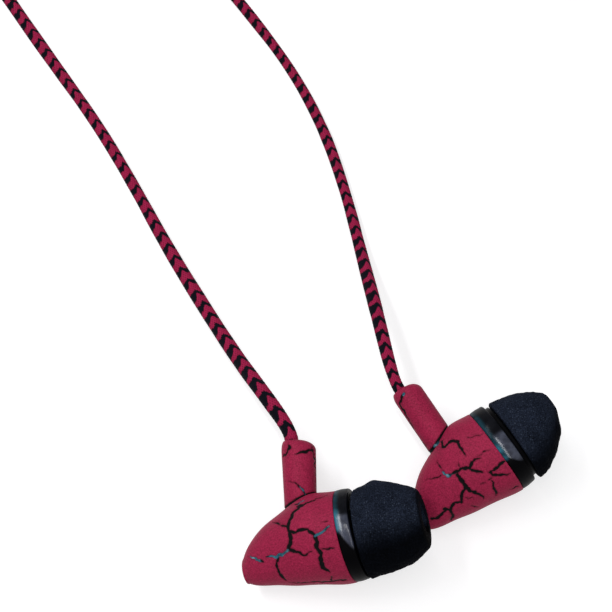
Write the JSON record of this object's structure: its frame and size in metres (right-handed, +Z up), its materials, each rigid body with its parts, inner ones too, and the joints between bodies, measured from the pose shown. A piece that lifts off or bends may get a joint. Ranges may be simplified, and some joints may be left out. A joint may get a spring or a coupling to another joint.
{
  "type": "wired earphones",
  "caption": "Wired in-ear earphones with crackle-painted housings, foam ear tips, braided cords that join in a splitter, and a round audio plug.",
  "frame": {"origin": "centre of the earbuds' bottom, on the table that they lie on", "axes": "+Z up from the table, +X along the row of the two earbuds, +Y towards the put-away cord"},
  "size_m": [0.1081, 0.1481, 0.0159],
  "materials": {
    "crackle_paint": "crackle paint, crimson over gloss black",
    "gloss_black": "gloss",
    "steel_mesh": "fine mesh",
    "damper_cloth": "matte",
    "black_plastic": "matte",
    "diaphragm_film": "satin",
    "copper": "wound wire",
    "plated_steel": "plated",
    "magnet": "plated",
    "tip_core": "matte",
    "foam": "matte open-cell foam with pale specks",
    "board": "satin",
    "braid": "braided, crimson and black chevrons",
    "tie_band": "matte",
    "black_rubber": "satin",
    "gold": "polished",
    "insulator": "matte"
  },
  "bodies": {
    "root": {"left_coil_tie": "tie_band", "left_cord": "braid", "left_cord_coil": "braid", "left_cord_knot": "braid", "left_cord_tail": "braid", "left_diaphragm": "diaphragm_film", "left_driver_frame": "black_plastic", "left_driver_magnet": "magnet", "left_driver_top_plate": "plated_steel", "left_front_cap": "gloss_black", "left_magnet_yoke": "plated_steel", "left_nozzle_damper": "damper_cloth", "left_nozzle_mesh": "steel_mesh", "left_rear_shell": "crackle_paint", "left_stem": "crackle_paint", "left_terminal_board": "board", "left_voice_coil": "copper", "main_coil_tie": "tie_band", "main_cord": "braid", "main_cord_coil": "braid", "main_cord_tail": "braid", "plug_flange": "gold", "plug_front_insulator": "insulator", "plug_grip": "gloss_black", "plug_rear_insulator": "insulator", "plug_relief": "black_rubber", "plug_ring": "gold", "plug_sleeve": "gold", "plug_tip": "gold", "right_coil_tie": "tie_band", "right_cord": "braid", "right_cord_coil": "braid", "right_cord_knot": "braid", "right_cord_tail": "braid", "right_diaphragm": "diaphragm_film", "right_driver_frame": "black_plastic", "right_driver_magnet": "magnet", "right_driver_top_plate": "plated_steel", "right_front_cap": "gloss_black", "right_magnet_yoke": "plated_steel", "right_nozzle_damper": "damper_cloth", "right_nozzle_mesh": "steel_mesh", "right_rear_shell": "crackle_paint", "right_stem": "crackle_paint", "right_terminal_board": "board", "right_voice_coil": "copper", "y_splitter": "black_rubber"},
    "left_ear_tip": {"left_ear_tip_core": "tip_core", "left_ear_tip_foam": "foam"},
    "right_ear_tip": {"right_ear_tip_core": "tip_core", "right_ear_tip_foam": "foam"}
  },
  "joints": [
    {"name": "left_tip_turn", "type": "hinge", "parent": "root", "child": "left_ear_tip", "pos_m": [-0.0017, -0.00726, 0.01013], "axis": [0.9524, 0.1611, 0.2588], "continuous": true},
    {"name": "right_tip_pull", "type": "slide", "parent": "root", "child": "right_ear_tip", "axis": [0.81, 0.5546, 0.1908], "range_m": [0, 0.01]}
  ]
}
